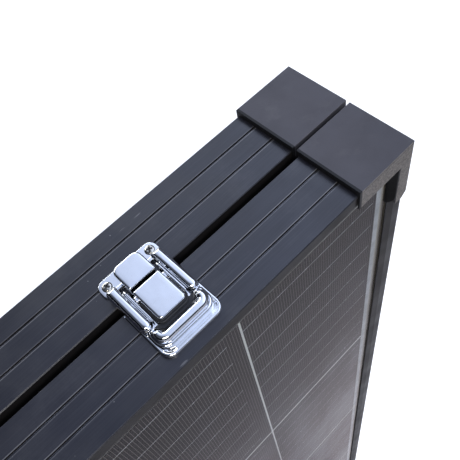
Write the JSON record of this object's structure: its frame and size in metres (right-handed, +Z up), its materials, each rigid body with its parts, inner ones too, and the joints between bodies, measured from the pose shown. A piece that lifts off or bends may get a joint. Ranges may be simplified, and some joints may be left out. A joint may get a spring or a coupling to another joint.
{
  "type": "folding solar panel",
  "caption": "Folding framed solar panel, shut like a suitcase, with toggle latches, carry handle, hinges and fold-out support legs",
  "frame": {"origin": "middle of the base, in the plane under the rubber feet, midway between the two panels", "axes": "+X along the panels' length, -Y out of the front panel's glass, +Z up from the hinged edge to the latched edge"},
  "size_m": [0.799, 0.07, 0.7284],
  "materials": {
    "anodised_frame": "dark grey anodised",
    "bright_aluminium": "natural anodised",
    "solar_glass": "low-iron tempered, fine texture",
    "silicon_cell": "anti-reflection coated silicon",
    "tinned_ribbon": "tinned copper",
    "white_backsheet": "white laminate",
    "black_rubber": "matte",
    "corner_plastic": "fine texture",
    "zinc_steel": "zinc plated",
    "chrome_plate": "mirror polished",
    "nickel_screw": "nickel plated",
    "black_plastic": "moulded",
    "soft_grip": "soft, ribbed",
    "controller_shell": "moulded, satin",
    "screen": "clear window over a display",
    "lead_jacket": "smooth jacket",
    "button_plastic": "gloss"
  },
  "bodies": {
    "front_panel": {"front_top_rail": "anodised_frame", "front_bottom_rail": "anodised_frame", "front_left_rail": "anodised_frame", "front_right_rail": "anodised_frame", "front_corner_keys": "bright_aluminium", "front_glass": "solar_glass", "front_cells": "silicon_cell", "front_bus_ribbons": "tinned_ribbon", "front_backsheet": "white_backsheet", "front_edge_seal": "black_rubber", "front_corner_caps": "corner_plastic", "front_feet": "black_rubber", "front_hinge_leaves": "zinc_steel", "front_hinge_screws": "zinc_steel", "front_leg_bracket": "zinc_steel", "front_junction_box": "black_plastic", "front_lead": "lead_jacket", "hinge_pins": "zinc_steel", "latch_bases": "chrome_plate", "latch_pins": "nickel_screw", "latch_rivets": "nickel_screw", "handle_brackets": "black_plastic", "handle_screws": "nickel_screw", "controller_housing": "controller_shell", "controller_cover": "controller_shell", "controller_screen": "screen", "controller_screws": "nickel_screw", "output_lead": "lead_jacket"},
    "rear_panel": {"rear_top_rail": "anodised_frame", "rear_bottom_rail": "anodised_frame", "rear_left_rail": "anodised_frame", "rear_right_rail": "anodised_frame", "rear_corner_keys": "bright_aluminium", "rear_glass": "solar_glass", "rear_cells": "silicon_cell", "rear_bus_ribbons": "tinned_ribbon", "rear_backsheet": "white_backsheet", "rear_edge_seal": "black_rubber", "rear_corner_caps": "corner_plastic", "rear_feet": "black_rubber", "rear_hinge_leaves": "zinc_steel", "rear_hinge_screws": "zinc_steel", "rear_leg_bracket": "zinc_steel", "rear_junction_box": "black_plastic", "rear_lead": "lead_jacket", "latch_keepers": "chrome_plate", "keeper_screws": "nickel_screw"},
    "left_lever": {"left_latch_lever": "chrome_plate"},
    "right_lever": {"right_latch_lever": "chrome_plate"},
    "left_bail": {"left_latch_bail": "chrome_plate"},
    "right_bail": {"right_latch_bail": "chrome_plate"},
    "handle": {"handle_bow": "black_plastic", "handle_grip": "soft_grip"},
    "front_leg": {"front_leg": "bright_aluminium", "front_leg_foot": "black_rubber"},
    "rear_leg": {"rear_leg": "bright_aluminium", "rear_leg_foot": "black_rubber"},
    "front_knob": {"front_leg_knob": "black_plastic"},
    "rear_knob": {"rear_leg_knob": "black_plastic"},
    "menu_button": {"controller_button": "button_plastic"}
  },
  "joints": [
    {"name": "panel_fold", "type": "hinge", "parent": "front_panel", "child": "rear_panel", "pos_m": [0, 0, 0.0029], "axis": [-1, 0, 0], "range_deg": [0, 180]},
    {"name": "handle_swing", "type": "hinge", "parent": "front_panel", "child": "handle", "pos_m": [0, -0.018, 0.7194], "axis": [1, 0, 0], "range_deg": [0, 100]},
    {"name": "front_leg_swing", "type": "hinge", "parent": "front_panel", "child": "front_leg", "pos_m": [0.25, -0.0135, 0.6702], "axis": [0, 0, -1], "range_deg": [0, 50]},
    {"name": "rear_leg_swing", "type": "hinge", "parent": "rear_panel", "child": "rear_leg", "pos_m": [0.25, 0.0135, 0.6702], "axis": [0, 0, 1], "range_deg": [0, 50]},
    {"name": "front_knob_turn", "type": "hinge", "parent": "front_panel", "child": "front_knob", "pos_m": [0.25, -0.0135, 0.6482], "axis": [0, 0, 1], "continuous": true},
    {"name": "rear_knob_turn", "type": "hinge", "parent": "rear_panel", "child": "rear_knob", "pos_m": [0.25, 0.0135, 0.6482], "axis": [0, 0, 1], "continuous": true},
    {"name": "menu_button_press", "type": "slide", "parent": "front_panel", "child": "menu_button", "axis": [0, -1, 0], "range_m": [0, 0.001], "stiffness_N_per_m": 400, "springref_m": -0.0005},
    {"name": "left_lever_flip", "type": "hinge", "parent": "front_panel", "child": "left_lever", "pos_m": [-0.2815, -0.0033, 0.7116], "axis": [-1, 0, 0], "range_deg": [0, 100]},
    {"name": "left_bail_swing", "type": "hinge", "parent": "left_lever", "child": "left_bail", "pos_m": [-0.2815, -0.0113, 0.7108], "axis": [-1, 0, 0], "range_deg": [-75, 0]},
    {"name": "right_lever_flip", "type": "hinge", "parent": "front_panel", "child": "right_lever", "pos_m": [0.2815, -0.0033, 0.7116], "axis": [-1, 0, 0], "range_deg": [0, 100]},
    {"name": "right_bail_swing", "type": "hinge", "parent": "right_lever", "child": "right_bail", "pos_m": [0.2815, -0.0113, 0.7108], "axis": [-1, 0, 0], "range_deg": [-75, 0]}
  ],
  "couplings": [
    {"joint": "front_leg_swing", "follows": "panel_fold", "ratio": 0.2777},
    {"joint": "rear_leg_swing", "follows": "panel_fold", "ratio": 0.2777},
    {"joint": "left_bail_swing", "follows": "left_lever_flip", "ratio": -0.74},
    {"joint": "right_bail_swing", "follows": "right_lever_flip", "ratio": -0.74}
  ]
}
